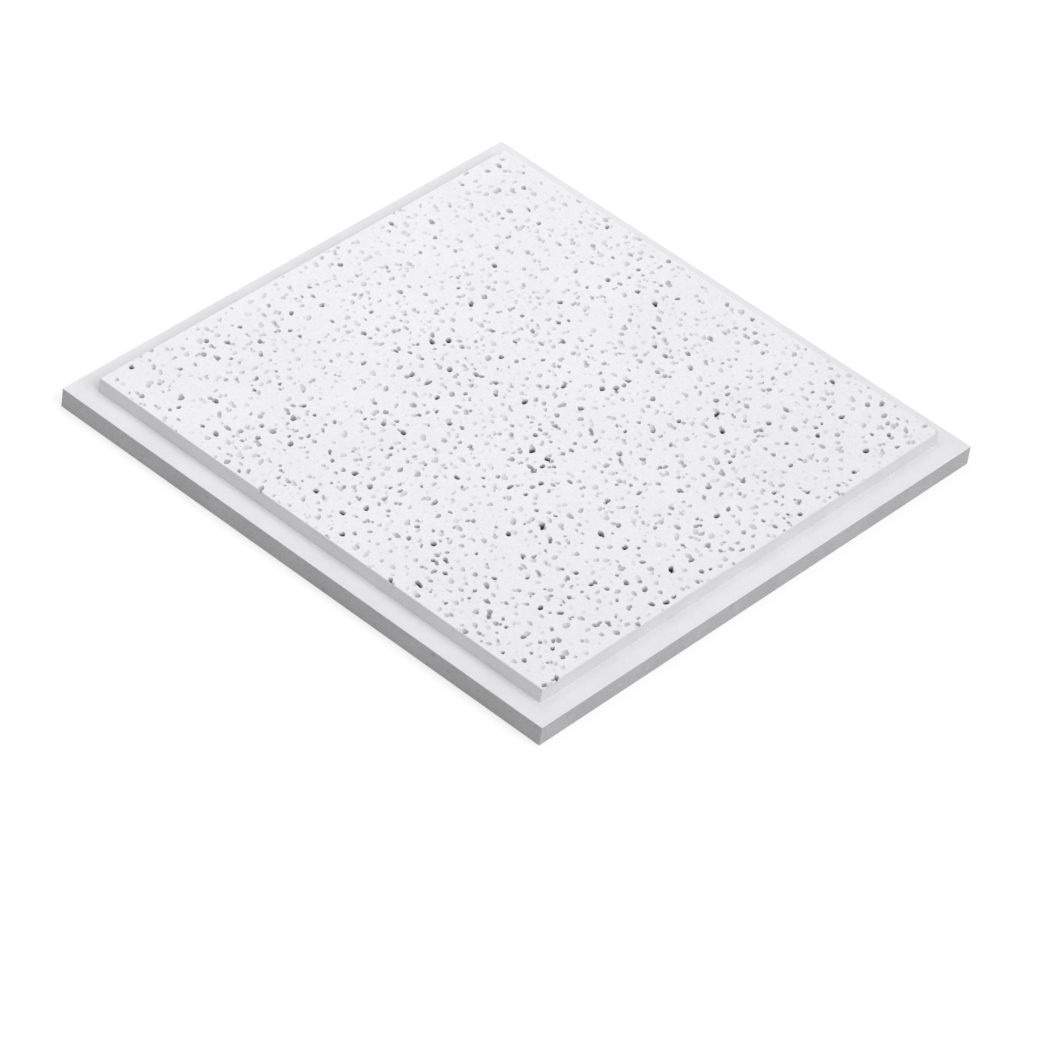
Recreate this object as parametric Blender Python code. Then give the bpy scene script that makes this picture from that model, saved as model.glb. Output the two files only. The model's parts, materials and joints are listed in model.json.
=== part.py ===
"""Ceiling tile of moulded mineral fibre with a stepped edge, lying on its back.

The tile lies in one opening of a ceiling grid made of inverted T bars. A step is milled round
all four sides: the thin ledge that it leaves rests on the flanges of the bars, and the thick
middle drops through them into the room. Before it is painted the face is punched all over
with tapered pins, which leave pointed dents of many sizes and depths.

Metres, +Z up. The origin is the middle of the back, which lies on z = 0. The face is on top.
"""

import math
import random
from collections import namedtuple

import bmesh
import bpy
from mathutils import Matrix

# The board, cut to lie loose in a 600 mm grid
TILE_WIDTH = 0.595
TILE_LENGTH = 0.595
LEDGE_THICKNESS = 0.021
FACE_RISE = 0.015
CUT_EDGE_BEVEL = 0.0006

# The milled step: how far the ledge stands out, and the radii that the milling leaves
LEDGE_WIDTH = 0.023
STEP_ROOT_RADIUS = 0.0008
STEP_ROOT_SEGMENTS = 2
STEP_CORNER_RADIUS = 0.0010
STEP_CORNER_SEGMENTS = 2
FACE_EDGE_BEVEL = 0.0008

# The marks of the pins. A round pin leaves a round dent, and a flat one a longer dent: its length
# is up to MARK_STRETCH_MOST times its width
MARKS_PER_SQUARE_METRE = 2640
MARK_HALF_WIDTH_LEAST = 0.0019
MARK_HALF_WIDTH_MOST = 0.0033
MARK_STRETCH_MOST = 1.6
MARK_DEPTH_LEAST = 0.0012
MARK_DEPTH_MOST = 0.0105
MARK_SIDES = 6
PATTERN_SEED = 23
TRIES_PER_MARK = 60

# The unmarked strip between two marks, and between a mark and the edge of the face
MARK_SPACING = 0.0030
FACE_MARGIN = 0.0016

# How strongly the draw leans to small and to shallow marks: at 1 all are as likely
SMALL_MARK_BIAS = 1.2
SHALLOW_MARK_BIAS = 3.2

# The part of its full depth that the smallest mark can reach
SMALL_MARK_DEPTH = 0.6

# The pins are set lengthwise to one diagonal, more or less, and bear harder towards one corner
PIN_TURN = math.radians(132)
PIN_TURN_SPREAD = math.radians(40)
PRESS_CHANGE = 0.50

# How far the tool that cuts the marks stands clear of the face
TOOL_OVERRUN = 0.0002

# Points closer than this are one point, and heights closer than this are the same height
MERGE_DISTANCE = 0.0000001
SAME_HEIGHT = 0.000001
SHARP_ANGLE = math.radians(45)

FIBRE_COLOUR = (0.78, 0.78, 0.79, 1.0)
FIBRE_ROUGHNESS = 0.95

Mark = namedtuple("Mark", "x y half_length half_width turn depth")


def face_sides():
    """Width and length of the raised face."""
    return TILE_WIDTH - 2 * LEDGE_WIDTH, TILE_LENGTH - 2 * LEDGE_WIDTH


def face_height():
    return LEDGE_THICKNESS + FACE_RISE


def top_face(bm):
    return max(bm.faces, key=lambda face: (face.normal.z, face.calc_center_median().z))


def bevel(bm, edges, radius, segments):
    bmesh.ops.bevel(
        bm,
        geom=edges,
        offset=radius,
        affect="EDGES",
        segments=segments,
        profile=0.5,
        clamp_overlap=True,
        material=-1,
    )


def at_height(vert, height):
    return abs(vert.co.z - height) < SAME_HEIGHT


def over_middle(vert):
    """Whether the point lies inside the middle line of the ledge."""
    reach_x, reach_y = (TILE_WIDTH - LEDGE_WIDTH) / 2, (TILE_LENGTH - LEDGE_WIDTH) / 2
    return abs(vert.co.x) < reach_x and abs(vert.co.y) < reach_y


def edges_at(bm, height, inside):
    """The sharp edges at this height: of the raised middle, or else of the board's outline."""
    return [
        edge
        for edge in bm.edges
        if all(at_height(vert, height) for vert in edge.verts)
        and all(over_middle(vert) == inside for vert in edge.verts)
        and edge.calc_face_angle(0) > SHARP_ANGLE
    ]


def upright_edges(bm, bottom, top):
    """The four corner edges that run from one height to the other."""
    found = []
    for edge in bm.edges:
        low, high = sorted(edge.verts, key=lambda vert: vert.co.z)
        if at_height(low, bottom) and at_height(high, top):
            found.append(edge)
    return found


def stepped_board():
    """The board with its step milled and its edges eased, before it is punched."""
    bm = bmesh.new()
    bmesh.ops.create_cube(bm, size=1)
    bmesh.ops.scale(bm, vec=(TILE_WIDTH, TILE_LENGTH, LEDGE_THICKNESS), verts=bm.verts)
    bmesh.ops.translate(bm, vec=(0, 0, LEDGE_THICKNESS / 2), verts=bm.verts)

    middle = top_face(bm)
    bmesh.ops.inset_region(bm, faces=[middle], thickness=LEDGE_WIDTH, use_even_offset=True)
    raised = bmesh.ops.extrude_discrete_faces(bm, faces=[middle])["faces"]
    bmesh.ops.translate(bm, vec=(0, 0, FACE_RISE), verts=raised[0].verts)
    bmesh.ops.recalc_face_normals(bm, faces=bm.faces)

    corners = upright_edges(bm, LEDGE_THICKNESS, face_height())
    bevel(bm, corners, STEP_CORNER_RADIUS, STEP_CORNER_SEGMENTS)
    bevel(bm, edges_at(bm, LEDGE_THICKNESS, inside=True), STEP_ROOT_RADIUS, STEP_ROOT_SEGMENTS)
    bevel(bm, edges_at(bm, face_height(), inside=True), FACE_EDGE_BEVEL, 1)

    cut_edges = upright_edges(bm, 0, LEDGE_THICKNESS)
    cut_edges += edges_at(bm, 0, inside=False) + edges_at(bm, LEDGE_THICKNESS, inside=False)
    bevel(bm, cut_edges, CUT_EDGE_BEVEL, 1)
    return bm


def press(x, y):
    """How hard the pins bear at this place, where 1 is the middle of the face."""
    width, length = face_sides()
    return 1 + PRESS_CHANGE * (x / width - y / length)


def scattered_marks():
    """Marks at chance places on the face that keep clear of each other and of its edges."""
    draw = random.Random(PATTERN_SEED)
    width, length = face_sides()
    wanted = round(MARKS_PER_SQUARE_METRE * width * length)
    longest = MARK_HALF_WIDTH_MOST * MARK_STRETCH_MOST
    square = 2 * longest + MARK_SPACING  # marks further apart than a square can't touch
    taken = {}
    marks = []
    for _ in range(wanted * TRIES_PER_MARK):
        if len(marks) == wanted:
            break
        share = draw.random() ** SMALL_MARK_BIAS
        half_width = MARK_HALF_WIDTH_LEAST + (MARK_HALF_WIDTH_MOST - MARK_HALF_WIDTH_LEAST) * share
        half_length = half_width * draw.uniform(1, MARK_STRETCH_MOST)
        reachable = SMALL_MARK_DEPTH + (1 - SMALL_MARK_DEPTH) * share
        depth_share = reachable * draw.random() ** SHALLOW_MARK_BIAS
        turn = PIN_TURN + draw.uniform(-PIN_TURN_SPREAD, PIN_TURN_SPREAD)
        reach_x = width / 2 - FACE_MARGIN - half_length
        reach_y = length / 2 - FACE_MARGIN - half_length
        x, y = draw.uniform(-reach_x, reach_x), draw.uniform(-reach_y, reach_y)
        depth = press(x, y) * (MARK_DEPTH_LEAST + (MARK_DEPTH_MOST - MARK_DEPTH_LEAST) * depth_share)

        column, row = math.floor(x / square), math.floor(y / square)
        near = [
            mark
            for i in (-1, 0, 1)
            for j in (-1, 0, 1)
            for mark in taken.get((column + i, row + j), [])
        ]
        gaps = (math.hypot(x - m.x, y - m.y) - half_length - m.half_length for m in near)
        if all(gap > MARK_SPACING for gap in gaps):
            mark = Mark(x, y, half_length, half_width, turn, min(depth, MARK_DEPTH_MOST))
            taken.setdefault((column, row), []).append(mark)
            marks.append(mark)
    return marks


def pin_points(marks):
    """The tool: one pin point for each mark, in one mesh, standing a little clear of the face."""
    bm = bmesh.new()
    for mark in marks:
        flare = 1 + TOOL_OVERRUN / mark.depth
        tall = mark.depth + TOOL_OVERRUN
        place = (
            Matrix.Translation((mark.x, mark.y, face_height() + TOOL_OVERRUN - tall / 2))
            @ Matrix.Rotation(mark.turn, 4, "Z")
            @ Matrix.Diagonal((mark.half_length * flare, mark.half_width * flare, tall, 1))
        )
        bmesh.ops.create_cone(
            bm,
            cap_ends=True,
            segments=MARK_SIDES,
            radius1=0,
            radius2=1,
            depth=1,
            matrix=place,
        )
    bmesh.ops.remove_doubles(bm, verts=bm.verts, dist=MERGE_DISTANCE)
    bmesh.ops.recalc_face_normals(bm, faces=bm.faces)
    return bm


def fibre():
    material = bpy.data.materials.new("mineral_fibre")
    material.use_nodes = True
    shader = material.node_tree.nodes["Principled BSDF"]
    shader.inputs["Base Color"].default_value = FIBRE_COLOUR
    shader.inputs["Roughness"].default_value = FIBRE_ROUGHNESS
    shader.inputs["Metallic"].default_value = 0
    return material


def add_object(name, bm):
    mesh = bpy.data.meshes.new(name)
    bm.to_mesh(mesh)
    bm.free()
    made = bpy.data.objects.new(name, mesh)
    bpy.context.scene.collection.objects.link(made)
    return made


def build():
    for old in list(bpy.data.objects):
        bpy.data.objects.remove(old)

    tile = add_object("tile_board", stepped_board())
    tile.data.materials.append(fibre())

    pins = add_object("pin_tool", pin_points(scattered_marks()))
    pins.hide_render = True
    pins.display_type = "WIRE"

    punched = tile.modifiers.new("punched_face", "BOOLEAN")
    punched.operation = "DIFFERENCE"
    punched.solver = "EXACT"
    punched.use_self = True
    punched.object = pins


build()
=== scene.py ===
"""Ceiling tile of painted mineral fibre, lying on its back with the punched face up.

Metres, +Z up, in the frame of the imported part: the middle of the back is the origin.
"""

import json
import math
import random
from collections import namedtuple

import bmesh
import bpy
from mathutils import Matrix, Vector


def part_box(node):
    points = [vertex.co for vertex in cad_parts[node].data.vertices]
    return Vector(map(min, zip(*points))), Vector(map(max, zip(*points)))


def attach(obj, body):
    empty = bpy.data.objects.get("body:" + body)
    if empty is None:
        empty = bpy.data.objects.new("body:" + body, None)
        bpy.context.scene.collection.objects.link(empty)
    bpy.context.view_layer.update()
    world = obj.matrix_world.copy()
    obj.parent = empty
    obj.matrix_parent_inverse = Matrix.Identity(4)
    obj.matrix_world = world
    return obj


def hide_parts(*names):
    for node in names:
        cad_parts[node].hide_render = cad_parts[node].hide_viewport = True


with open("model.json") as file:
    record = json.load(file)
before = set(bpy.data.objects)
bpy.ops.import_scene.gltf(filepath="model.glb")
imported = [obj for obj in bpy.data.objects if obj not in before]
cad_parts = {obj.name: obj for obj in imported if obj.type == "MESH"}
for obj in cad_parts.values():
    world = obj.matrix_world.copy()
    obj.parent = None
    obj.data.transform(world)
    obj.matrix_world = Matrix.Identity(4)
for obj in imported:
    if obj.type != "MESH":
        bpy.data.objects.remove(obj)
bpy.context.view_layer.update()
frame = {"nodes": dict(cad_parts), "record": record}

# The board
# One slab of mineral wool and clay, formed wet and dried hard. Its four sides are sawn, and then
# a step is milled all round, which leaves the thin ledge that the ceiling grid carries.

LEDGE_WIDTH = 0.023
STEP_ROOT_RADIUS = 0.0008
STEP_CORNER_RADIUS = 0.0010
FACE_EDGE_RADIUS = 0.0008
SAWN_EDGE_RADIUS = 0.0006
ROUND_SEGMENTS = 4
SAME_PLACE = 0.00001
SHARP_ANGLE = math.radians(45)

board_low, board_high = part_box("tile_board")
mount_places = {mount["name"]: mount["pos_m"] for mount in frame["record"]["mounts"]}
LEDGE_HEIGHT = mount_places["ledge_front"][2]
FACE_HEIGHT = board_high.z
FACE_REACH_X = board_high.x - LEDGE_WIDTH
FACE_REACH_Y = board_high.y - LEDGE_WIDTH

# Each finish's place in the board's list of materials
FACE, STEP, SAWN, BACK = range(4)


def round_edges(bm, edges, radius):
    """Rounds these edges. The narrow new faces stay flat, so that no nick can bend their shade."""
    bmesh.ops.bevel(
        bm,
        geom=edges,
        offset=radius,
        affect="EDGES",
        segments=ROUND_SEGMENTS,
        profile=0.5,
        clamp_overlap=True,
        material=-1,
    )


def at_height(place, height):
    return abs(place.z - height) < SAME_PLACE


def over_middle(place):
    """Whether the point lies inside the middle line of the ledge."""
    reach_x = board_high.x - LEDGE_WIDTH / 2
    reach_y = board_high.y - LEDGE_WIDTH / 2
    return abs(place.x) < reach_x and abs(place.y) < reach_y


def sharp_edges_at(bm, height, inside):
    """The sharp edges at this height: of the raised middle, or else of the board's outline."""
    return [
        edge
        for edge in bm.edges
        if all(at_height(vert.co, height) for vert in edge.verts)
        and all(over_middle(vert.co) == inside for vert in edge.verts)
        and edge.calc_face_angle(0) > SHARP_ANGLE
    ]


def upright_edges(bm, bottom, top):
    """The four corner edges that run from one height to the other."""
    found = []
    for edge in bm.edges:
        low, high = sorted((vert.co for vert in edge.verts), key=lambda co: co.z)
        if at_height(low, bottom) and at_height(high, top):
            found.append(edge)
    return found


def finish_of(face):
    """The paint covers the room side with the step; the sawn sides and the back stay bare."""
    middle = face.calc_center_median()
    if at_height(middle, FACE_HEIGHT):
        return FACE
    on_step = all(over_middle(vert.co) for vert in face.verts)
    if on_step or middle.z > LEDGE_HEIGHT - SAWN_EDGE_RADIUS / 2:
        return STEP
    return SAWN if middle.z > SAWN_EDGE_RADIUS / 2 else BACK


board_bm = bmesh.new()
bmesh.ops.create_cube(board_bm, size=1)
board_size = (board_high.x - board_low.x, board_high.y - board_low.y, LEDGE_HEIGHT)
bmesh.ops.scale(board_bm, vec=board_size, verts=board_bm.verts)
bmesh.ops.translate(board_bm, vec=(0, 0, LEDGE_HEIGHT / 2), verts=board_bm.verts)

middle_face = max(board_bm.faces, key=lambda face: face.normal.z)
bmesh.ops.inset_region(board_bm, faces=[middle_face], thickness=LEDGE_WIDTH, use_even_offset=True)
raised = bmesh.ops.extrude_discrete_faces(board_bm, faces=[middle_face])["faces"]
bmesh.ops.translate(board_bm, vec=(0, 0, FACE_HEIGHT - LEDGE_HEIGHT), verts=raised[0].verts)
bmesh.ops.recalc_face_normals(board_bm, faces=board_bm.faces)

round_edges(board_bm, upright_edges(board_bm, LEDGE_HEIGHT, FACE_HEIGHT), STEP_CORNER_RADIUS)
round_edges(board_bm, sharp_edges_at(board_bm, LEDGE_HEIGHT, inside=True), STEP_ROOT_RADIUS)
round_edges(board_bm, sharp_edges_at(board_bm, FACE_HEIGHT, inside=True), FACE_EDGE_RADIUS)
sawn_edges = upright_edges(board_bm, 0, LEDGE_HEIGHT)
sawn_edges += sharp_edges_at(board_bm, 0, inside=False)
sawn_edges += sharp_edges_at(board_bm, LEDGE_HEIGHT, inside=False)
round_edges(board_bm, sawn_edges, SAWN_EDGE_RADIUS)
for face in board_bm.faces:
    face.material_index = finish_of(face)

# Every finish here is matt and covers the board by the place on it, so that nothing slides or
# turns with the tile: the step has a thin coat of paint, the sawn sides and the back have none.

STEP_PAINT = (0.83, 0.825, 0.84)
BARE_FIBRE = (0.535, 0.528, 0.540)
DULL_SHINE = 0.25

# How the colour's tone changes with the height above the ledge: it is full on the ledge itself.
# The wall is darker, partly a thinner coat and partly painted shade, and darkest in the root,
# which is painted shade in the crease
STEP_COAT_AND_SHADE_TONES = ((0.0, 1.0), (0.00004, 0.86), (0.0006, 0.88), (0.0016, 0.91))


def add_node(tree, kind, inputs=(), **settings):
    """A node with these settings, whose inputs are linked to sockets or set to values."""
    made = tree.nodes.new(kind)
    for key, value in settings.items():
        setattr(made, key, value)
    for key, value in dict(inputs).items():
        if isinstance(value, bpy.types.NodeSocket):
            tree.links.new(value, made.inputs[key])
        else:
            made.inputs[key].default_value = value
    return made


class Finish:
    """A matt material built from nodes, with its shader and its Object coordinates at hand."""

    def __init__(self, name, roughness):
        self.material = bpy.data.materials.new(name)
        self.material.use_nodes = True
        self.tree = self.material.node_tree
        self.shader = self.tree.nodes["Principled BSDF"]
        self.shader.inputs["Roughness"].default_value = roughness
        self.shader.inputs["Specular IOR Level"].default_value = DULL_SHINE
        self.place = self.node("ShaderNodeTexCoord").outputs["Object"]

    def node(self, kind, inputs=(), **settings):
        return add_node(self.tree, kind, inputs, **settings)

    def height(self):
        """How high each place on the tile lies, in metres."""
        return self.node("ShaderNodeSeparateXYZ", {"Vector": self.place}).outputs["Z"]

    def noise(self, scale, detail, place=None):
        """Patches by chance, about this many to a metre."""
        inputs = {"Vector": place or self.place, "Scale": scale, "Detail": detail}
        return self.node("ShaderNodeTexNoise", inputs).outputs["Fac"]

    def spread(self, value, low, high, start=0.35, end=0.65):
        """The value's middle range, spread from low to high."""
        inputs = {"Value": value, "From Min": start, "From Max": end, "To Min": low, "To Max": high}
        return self.node("ShaderNodeMapRange", inputs).outputs["Result"]

    def tint(self, colour, *factors):
        """The colour, darkened or lightened by each factor."""
        for factor in factors:
            inputs = {0: colour, "Scale": factor}
            colour = self.node("ShaderNodeVectorMath", inputs, operation="SCALE").outputs["Vector"]
        return colour

    def shaded(self, colour, share, tones):
        """The colour in tones that go with a length: pairs of length and tone, and share runs
        from 0 to 1 along these lengths."""
        ramp = self.node("ShaderNodeValToRGB", {"Fac": share})
        stops = ramp.color_ramp.elements
        full_length = tones[-1][0]
        for length, tone in tones[1:-1]:
            stops.new(length / full_length)
        for stop, (length, tone) in zip(stops, tones):
            stop.position = length / full_length
            stop.color = (*(tone * part for part in colour), 1)
        return ramp.outputs["Color"]

    def colour(self, value):
        self.tree.links.new(value, self.shader.inputs["Base Color"])

    def bump(self, height, distance):
        inputs = {"Height": height, "Distance": distance, "Strength": 1.0}
        normal = self.node("ShaderNodeBump", inputs).outputs["Normal"]
        self.tree.links.new(normal, self.shader.inputs["Normal"])


def step_paint():
    """A thin coat, cloudy over a few centimetres, on the fine grit that the milling leaves."""
    paint = Finish("step_paint", roughness=0.92)
    top = LEDGE_HEIGHT + STEP_COAT_AND_SHADE_TONES[-1][0]
    share = paint.spread(paint.height(), 0.0, 1.0, start=LEDGE_HEIGHT, end=top)
    # Darker up the wall, partly a thinner coat and partly painted shade; painted shade in the root
    coat_and_shade = paint.shaded(STEP_PAINT, share, STEP_COAT_AND_SHADE_TONES)
    cloud = paint.spread(paint.noise(30, detail=2), 0.975, 1.015)
    speckle = paint.spread(paint.noise(800, detail=3), 0.96, 1.02)
    paint.colour(paint.tint(coat_and_shade, cloud, speckle))
    paint.bump(paint.noise(900, detail=4), 0.00018)
    return paint.material


def bare_fibre(name, colour):
    """Sawn board: fibres pressed flat in layers, so the grain runs level round the sides."""
    bare = Finish(name, roughness=0.97)
    layers = bare.node("ShaderNodeMapping", {"Vector": bare.place, "Scale": (1, 1, 5)})
    grain = bare.noise(300, detail=4, place=layers.outputs["Vector"])
    streak = bare.spread(grain, 0.92, 1.06)
    cloud = bare.spread(bare.noise(22, detail=4), 0.955, 1.035)
    speckle = bare.spread(bare.noise(1300, detail=2), 0.93, 1.05)
    fleck = bare.spread(bare.noise(170, detail=1), 0.84, 1.0, start=0.22, end=0.33)
    bare.colour(bare.tint(colour, streak, cloud, speckle, fleck))
    bare.bump(grain, 0.0004)
    return bare.material


# The punched face
# Before it is painted the face runs under rollers set with blunt pins. The marks of the first are
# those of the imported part, at their places and depths, and three more leave finer ones all over.

FACE_PAINT = (0.872, 0.864, 0.904)

# How the colour's tone changes with the depth below the face: the coat thins over the grey fibre,
# and painted shade darkens the marks further, to nearly black at the bottom of the deepest
PIT_COAT_AND_SHADE_TONES = (
    (0.0, 1.0), (0.0002, 0.92), (0.0010, 0.79), (0.0028, 0.60), (0.0048, 0.11), (0.0070, 0.05),
)

# Share of the outline's width, and share of the depth, at each ring of a mark below its rim
LARGE_RINGS = ((0.93, 0.32), (0.72, 0.72), (0.42, 0.94))
FINE_RINGS = ((0.90, 0.46), (0.54, 0.90))
FAINT_RINGS = ((0.70, 0.75),)
LARGE_MARK_SIDES = 10
PACKED_MARK_SIDES = 6
TOOL_OVERRUN = 0.0001

# The finer rollers: how many marks each leaves, what share of them run into older ones, how far
# the others keep clear, and the least and most that a mark is wide and deep
Roll = namedtuple("Roll", "name wanted touching gap half_widths depths sides rings")
FINE_ROLLS = (
    Roll("fine_pins", 750, 0.0, 0.0014, (0.0015, 0.0030), (0.0005, 0.0048), 8, FINE_RINGS),
    Roll("cross_pins", 850, 0.75, 0.0014, (0.0015, 0.0030), (0.0005, 0.0048), 8, FINE_RINGS),
    Roll("faint_pins", 700, 0.0, 0.0003, (0.0013, 0.0028), (0.00015, 0.0008), 6, FAINT_RINGS),
)
FINE_STRETCH = 1.6
PATTERN_SEED = 7
TRIES_PER_MARK = 60

# How strongly the draw leans to small and to shallow marks, where at 1 all are as likely, and
# the part of its full depth that the smallest mark can reach
SMALL_MARK_BIAS = 1.2
SHALLOW_MARK_BIAS = 1.8
SMALL_MARK_DEPTH = 0.5

# How far from an older mark's middle one that runs into it lies, as a share of their widths, and
# how far it keeps clear of the rest
TOUCHING_REACH = (0.75, 1.1)
TOUCHING_GAP = 0.0003

# How far a mark's outline strays from an oval, in waves of which each goes round this many times,
# and how far its deepest point strays from the middle
RAGGED = 0.42
RAGGED_WAVES = (2, 3, 4)
TIP_OFF_MIDDLE = 0.4

# The pins are set lengthwise to one diagonal, more or less, and bear harder towards one corner
PIN_TURN = math.radians(132)
PIN_TURN_SPREAD = math.radians(40)
PRESS_CHANGE = 0.40

Mark = namedtuple("Mark", "x y half_length half_width turn depth")


def face_paint():
    """Matt white, thinner down in the marks, where the fibre shows, with painted shade in them."""
    paint = Finish("face_paint", roughness=0.9)
    deepest = FACE_HEIGHT - PIT_COAT_AND_SHADE_TONES[-1][0]
    share = paint.spread(paint.height(), 1.0, 0.0, start=deepest, end=FACE_HEIGHT)
    # Darker down the marks: partly a thinner coat over the fibre, and partly painted shade
    coat_and_shade = paint.shaded(FACE_PAINT, share, PIT_COAT_AND_SHADE_TONES)
    cloud = paint.spread(paint.noise(14, detail=2), 0.985, 1.01)
    speckle = paint.spread(paint.noise(380, detail=3), 0.965, 1.02)
    paint.colour(paint.tint(coat_and_shade, cloud, speckle))
    paint.bump(paint.noise(1100, detail=3), 0.00012)
    return paint.material


def read_marks(node):
    """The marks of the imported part: each is a pit whose sides meet in one point."""
    bm = bmesh.new()
    bm.from_mesh(node.data)
    bmesh.ops.remove_doubles(bm, verts=bm.verts, dist=SAME_PLACE)
    found = []
    for tip in bm.verts:
        rim = [edge.other_vert(tip).co for edge in tip.link_edges]
        if len(rim) != PACKED_MARK_SIDES or at_height(tip.co, FACE_HEIGHT):
            continue
        if not all(at_height(co, FACE_HEIGHT) for co in rim):
            continue
        middle = sum(rim, Vector()) / len(rim)
        # The sums of squares round the rim give its two half widths and the way it is turned
        half = len(rim) / 2
        xx = sum((co.x - middle.x) ** 2 for co in rim) / half
        yy = sum((co.y - middle.y) ** 2 for co in rim) / half
        xy = sum((co.x - middle.x) * (co.y - middle.y) for co in rim) / half
        spread = math.hypot((xx - yy) / 2, xy)
        half_length = math.sqrt((xx + yy) / 2 + spread)
        half_width = math.sqrt((xx + yy) / 2 - spread)
        turn = math.atan2(2 * xy, xx - yy) / 2
        depth = FACE_HEIGHT - tip.co.z
        found.append(Mark(middle.x, middle.y, half_length, half_width, turn, depth))
    bm.free()
    return sorted(found)


def press(x, y):
    """How hard the rollers bear at this place, where 1 is the middle of the face."""
    return 1 + PRESS_CHANGE * (x / FACE_REACH_X - y / FACE_REACH_Y) / 2


def chance_mark(roll, others, draw):
    """A mark drawn by chance, and the older mark that it runs into, if it does."""
    least, most = roll.half_widths
    shallow, deep = roll.depths
    share = draw.random() ** SMALL_MARK_BIAS
    half_width = least + (most - least) * share
    half_length = half_width * draw.uniform(1, FINE_STRETCH)
    reachable = SMALL_MARK_DEPTH + (1 - SMALL_MARK_DEPTH) * share
    depth = shallow + (deep - shallow) * reachable * draw.random() ** SHALLOW_MARK_BIAS
    turn = PIN_TURN + draw.uniform(-PIN_TURN_SPREAD, PIN_TURN_SPREAD)
    x = draw.uniform(-FACE_REACH_X, FACE_REACH_X)
    y = draw.uniform(-FACE_REACH_Y, FACE_REACH_Y)
    host = draw.choice(others) if draw.random() < roll.touching else None
    if host:
        side = draw.uniform(0, 2 * math.pi)
        reach = draw.uniform(*TOUCHING_REACH) * (host.half_width + half_width)
        x, y = host.x + reach * math.cos(side), host.y + reach * math.sin(side)
    return Mark(x, y, half_length, half_width, turn, depth * press(x, y)), host


def square_of(mark, side):
    """The column and the row of the mark's place, when squares with this side cover the face."""
    return math.floor(mark.x / side), math.floor(mark.y / side)


def fine_marks(roll, others, draw):
    """The marks of one finer roller. A share of them run into marks that are there already."""
    longest = max(mark.half_length for mark in others) + roll.half_widths[1] * FINE_STRETCH
    side = longest + roll.gap  # marks further apart than this can't touch
    taken = {}
    for mark in others:
        taken.setdefault(square_of(mark, side), []).append(mark)
    made = []
    for _ in range(roll.wanted * TRIES_PER_MARK):
        if len(made) == roll.wanted:
            break
        mark, host = chance_mark(roll, others, draw)
        column, row = square_of(mark, side)
        near = [
            other
            for i in (-1, 0, 1)
            for j in (-1, 0, 1)
            for other in taken.get((column + i, row + j), [])
            if other is not host
        ]
        clear = mark.half_length + (TOUCHING_GAP if host else roll.gap)
        if all(math.hypot(mark.x - m.x, mark.y - m.y) > clear + m.half_length for m in near):
            taken.setdefault((column, row), []).append(mark)
            made.append(mark)
    return made


def blank_pin(sides, rings):
    """The point of a pin before it is shaped: a closed disc with rings and a point below it."""
    bm = bmesh.new()
    bmesh.ops.create_circle(bm, cap_ends=True, segments=sides, radius=1)
    copied = bmesh.ops.duplicate(bm, geom=bm.faces[:])["geom"]
    discs = [part for part in copied if isinstance(part, bmesh.types.BMFace)]
    for _ in rings:
        discs = bmesh.ops.extrude_discrete_faces(bm, faces=discs)["faces"]
        bmesh.ops.translate(bm, vec=(0, 0, -1), verts=discs[0].verts)
    point = bmesh.ops.poke(bm, faces=discs)["verts"][0]
    point.co.z -= 1
    bmesh.ops.remove_doubles(bm, verts=bm.verts, dist=SAME_PLACE)
    bmesh.ops.recalc_face_normals(bm, faces=bm.faces)
    for face in bm.faces:
        face.smooth = True
    return bm


def shape_pin(pin, mark, rings, draw):
    """Turns a blank into the pin that makes this mark. Each level of it is one ring of the mark."""
    waves = [
        (times, draw.uniform(0, RAGGED / times), draw.uniform(0, 2 * math.pi))
        for times in RAGGED_WAVES
    ]
    lean, off = draw.uniform(0, 2 * math.pi), TIP_OFF_MIDDLE * draw.random()
    tip_x, tip_y = off * math.cos(lean), off * math.sin(lean)
    lip_width, lip_drop = rings[0]
    flare = 1 + (1 - lip_width) * TOOL_OVERRUN / (lip_drop * mark.depth)
    levels = [(flare, -TOOL_OVERRUN / mark.depth), *rings, (0, 1)]
    for corner in pin.verts:
        width, drop = levels[round(-corner.co.z)]
        angle = math.atan2(corner.co.y, corner.co.x)
        rim = 1 + sum(size * math.cos(times * angle + start) for times, size, start in waves)
        x = tip_x + (rim * math.cos(angle) - tip_x) * width
        y = tip_y + (rim * math.sin(angle) - tip_y) * width
        corner.co = (x * mark.half_length, y * mark.half_width, -drop * mark.depth)
    place = Matrix.Translation((mark.x, mark.y, FACE_HEIGHT)) @ Matrix.Rotation(mark.turn, 4, "Z")
    bmesh.ops.transform(pin, matrix=place, verts=pin.verts)


def add_object(name, bm):
    mesh = bpy.data.meshes.new(name)
    bm.to_mesh(mesh)
    bm.free()
    made = bpy.data.objects.new(name, mesh)
    bpy.context.scene.collection.objects.link(made)
    return made


def roller(name, marks, sides, rings, draw):
    """One mesh of pins, all in their places."""
    blank = blank_pin(sides, rings)
    pins = bmesh.new()
    one = bpy.data.meshes.new("one_pin")
    for mark in marks:
        pin = blank.copy()
        shape_pin(pin, mark, rings, draw)
        pin.to_mesh(one)
        pin.free()
        pins.from_mesh(one)
    blank.free()
    return add_object(name, pins)


# The board's flat map, through which its finishes can be baked: the room side is laid out as it is
# seen from above, its four edges lie over it in rows, and the plain back is smaller, in the corner
FLAT_MAP = "OFBake"
MAP_SCALE = 1.2
MAP_GAP = 0.01
BACK_SCALE = 0.42
ROOM_SIDE, BACK_SIDE, FRONT_EDGE, REAR_EDGE, LEFT_EDGE, RIGHT_EDGE = range(6)


def chart_of(face):
    """The chart of the map that holds this face. The marks stay with the room side."""
    x, y, z = face.normal
    if face.material_index == FACE or z > max(abs(x), abs(y)):
        return ROOM_SIDE
    if -z > max(abs(x), abs(y)):
        return BACK_SIDE
    if abs(y) >= abs(x):
        return REAR_EDGE if y > 0 else FRONT_EDGE
    return RIGHT_EDGE if x > 0 else LEFT_EDGE


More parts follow.
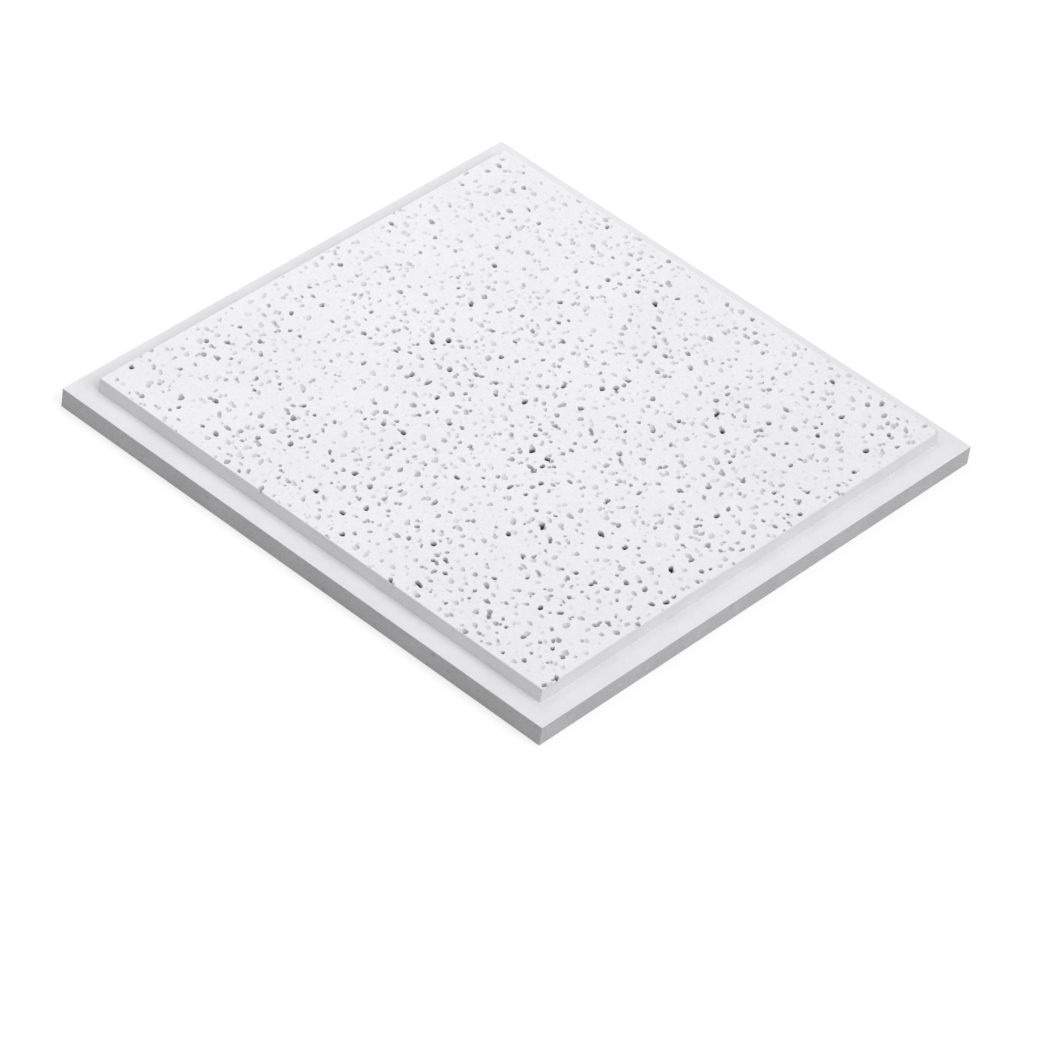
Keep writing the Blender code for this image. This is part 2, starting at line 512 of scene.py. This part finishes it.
def flat_place(co, chart):
    """Where this point of the chart lies on the map, whose sides are 1 long."""
    x, y = co.x - board_low.x, co.y - board_low.y
    beside, above = (2 * MAP_GAP + side * MAP_SCALE for side in board_size[:2])
    if chart == ROOM_SIDE:
        return MAP_GAP + x * MAP_SCALE, MAP_GAP + y * MAP_SCALE
    if chart == BACK_SIDE:
        return beside + x * BACK_SCALE, above + y * BACK_SCALE
    along = x if chart in (FRONT_EDGE, REAR_EDGE) else y
    row = above + (chart - FRONT_EDGE) * (FACE_HEIGHT * MAP_SCALE + MAP_GAP)
    return MAP_GAP + along * MAP_SCALE, row + co.z * MAP_SCALE


def lay_out(mesh):
    """Gives the mesh its flat map."""
    bm = bmesh.new()
    bm.from_mesh(mesh)
    layer = bm.loops.layers.uv.new(FLAT_MAP)
    for face in bm.faces:
        chart = chart_of(face)
        for corner in face.loops:
            corner[layer].uv = flat_place(corner.vert.co, chart)
    bm.to_mesh(mesh)
    bm.free()


board = add_object("punched_board", board_bm)
board.data.materials.append(face_paint())
board.data.materials.append(step_paint())
board.data.materials.append(bare_fibre("sawn_side", BARE_FIBRE))
board.data.materials.append(bare_fibre("bare_back", BARE_FIBRE))

scatter = random.Random(PATTERN_SEED)
marks = read_marks(frame["nodes"]["tile_board"])
rollers = [roller("large_pins", marks, LARGE_MARK_SIDES, LARGE_RINGS, scatter)]
for roll in FINE_ROLLS:
    new_marks = fine_marks(roll, marks, scatter)
    rollers.append(roller(roll.name, new_marks, roll.sides, roll.rings, scatter))
    marks += new_marks
for pins in rollers:
    punch = board.modifiers.new(pins.name, "BOOLEAN")
    punch.operation = "DIFFERENCE"
    punch.solver = "MANIFOLD"
    punch.object = pins
bpy.context.view_layer.update()
punched = board.evaluated_get(bpy.context.evaluated_depsgraph_get())
punched_mesh = bpy.data.meshes.new_from_object(punched)
lay_out(punched_mesh)
board.modifiers.clear()
board.data = punched_mesh
for pins in rollers:
    bpy.data.objects.remove(pins)

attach(board, "root")
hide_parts("tile_board")

# The floor
# A pale studio floor. It is seen white, and keeps the tile's soft shadow. It lies a hair below the
# tile's back, so that the two never share one plane.

FLOOR_HALF_SIDE = 6.0
FLOOR_GAP = 0.0002

# It lights the tile as a mid grey floor would. Where it is looked at, it has a tone that the
# shadow darkens and a glow that it doesn't, which come to this level together: just over white
FLOOR_TONE = 0.62
SEEN_TONE = 0.45
SEEN_LEVEL = 1.06

floor_bm = bmesh.new()
bmesh.ops.create_grid(floor_bm, x_segments=1, y_segments=1, size=FLOOR_HALF_SIDE)
bmesh.ops.translate(floor_bm, vec=(0, 0, -FLOOR_GAP), verts=floor_bm.verts)
floor = add_object("floor", floor_bm)


def seen_directly(tree):
    """1 where the camera, or a clear or shiny surface, looks at this; 0 for light on its way."""
    looks = add_node(tree, "ShaderNodeLightPath").outputs
    seen = looks["Is Camera Ray"]
    for other in (looks["Is Glossy Ray"], looks["Is Transmission Ray"]):
        either = add_node(tree, "ShaderNodeMath", {0: seen, 1: other}, operation="MAXIMUM")
        seen = either.outputs[0]
    return seen


def studio_floor():
    material = bpy.data.materials.new("studio_floor")
    material.use_nodes = True
    tree = material.node_tree
    tree.nodes.clear()

    def shader(kind, inputs):
        return add_node(tree, kind, inputs).outputs[0]

    lit = shader("ShaderNodeBsdfDiffuse", {"Color": (FLOOR_TONE, FLOOR_TONE, FLOOR_TONE, 1)})
    shown = shader("ShaderNodeBsdfDiffuse", {"Color": (SEEN_TONE, SEEN_TONE, SEEN_TONE, 1)})
    glow = shader("ShaderNodeEmission", {"Strength": SEEN_LEVEL - SEEN_TONE})
    both = shader("ShaderNodeAddShader", {0: shown, 1: glow})
    choice = shader("ShaderNodeMixShader", {"Fac": seen_directly(tree), 1: lit, 2: both})
    add_node(tree, "ShaderNodeOutputMaterial", {"Surface": choice})
    return material


floor.data.materials.append(studio_floor())

# The light
# An even sky, a broad lamp high on the right, so that the right side is lighter than the left one,
# and a soft box above the left corner, from which the light falls off over the face.

# How bright each alone makes a white surface that faces it, where 1 is white
SKY = 0.575
LAMP = 0.40
SOFT_BOX = 0.17

LAMP_SPREAD = math.radians(50)
LAMP_FROM = Vector((0.67, 0.05, 0.74))
SOFT_BOX_SIZE = 0.7
SOFT_BOX_PLACE = Vector((-0.32, 0.06, 1.15))

world = bpy.data.worlds.new("studio")
bpy.context.scene.world = world
world.use_nodes = True
sky = world.node_tree.nodes["Background"]
sky.inputs["Color"].default_value = (1, 1, 1, 1)
levels = {"Value": seen_directly(world.node_tree), "To Min": SKY, "To Max": 1}
sky_level = add_node(world.node_tree, "ShaderNodeMapRange", levels)
world.node_tree.links.new(sky_level.outputs["Result"], sky.inputs["Strength"])

lamp = bpy.data.objects.new("lamp", bpy.data.lights.new("lamp", "SUN"))
lamp.data.energy = LAMP * math.pi
lamp.data.angle = LAMP_SPREAD
lamp.rotation_mode = "QUATERNION"
lamp.rotation_quaternion = LAMP_FROM.to_track_quat("Z", "Y")
bpy.context.scene.collection.objects.link(lamp)

soft_box = bpy.data.objects.new("soft_box", bpy.data.lights.new("soft_box", "AREA"))
soft_box.data.shape = "DISK"
soft_box.data.size = SOFT_BOX_SIZE
soft_box.data.energy = SOFT_BOX * (math.pi * (SOFT_BOX_PLACE.z - FACE_HEIGHT)) ** 2
soft_box.location = SOFT_BOX_PLACE
bpy.context.scene.collection.objects.link(soft_box)

# The camera
# It looks down on the tile from the front, between the two near sides, and is rolled a little.

CAMERA_AZIMUTH = math.radians(36.7)
CAMERA_ELEVATION = math.radians(40.08)
CAMERA_ROLL = math.radians(8.91)
CAMERA_DISTANCE = 5.4486
CAMERA_AIM = Vector((0.0826, -0.0875, 0))
CAMERA_LENS = 208.2
SENSOR = 36

camera = bpy.data.objects.new("camera", bpy.data.cameras.new("camera"))
camera.matrix_world = (
    Matrix.Translation(CAMERA_AIM)
    @ Matrix.Rotation(CAMERA_AZIMUTH, 4, "Z")
    @ Matrix.Rotation(math.pi / 2 - CAMERA_ELEVATION, 4, "X")
    @ Matrix.Rotation(CAMERA_ROLL, 4, "Z")
    @ Matrix.Translation((0, 0, CAMERA_DISTANCE))
)
camera.data.lens = CAMERA_LENS
camera.data.sensor_width = SENSOR
bpy.context.scene.collection.objects.link(camera)
bpy.context.scene.camera = camera
bpy.context.scene.view_settings.view_transform = "Standard"
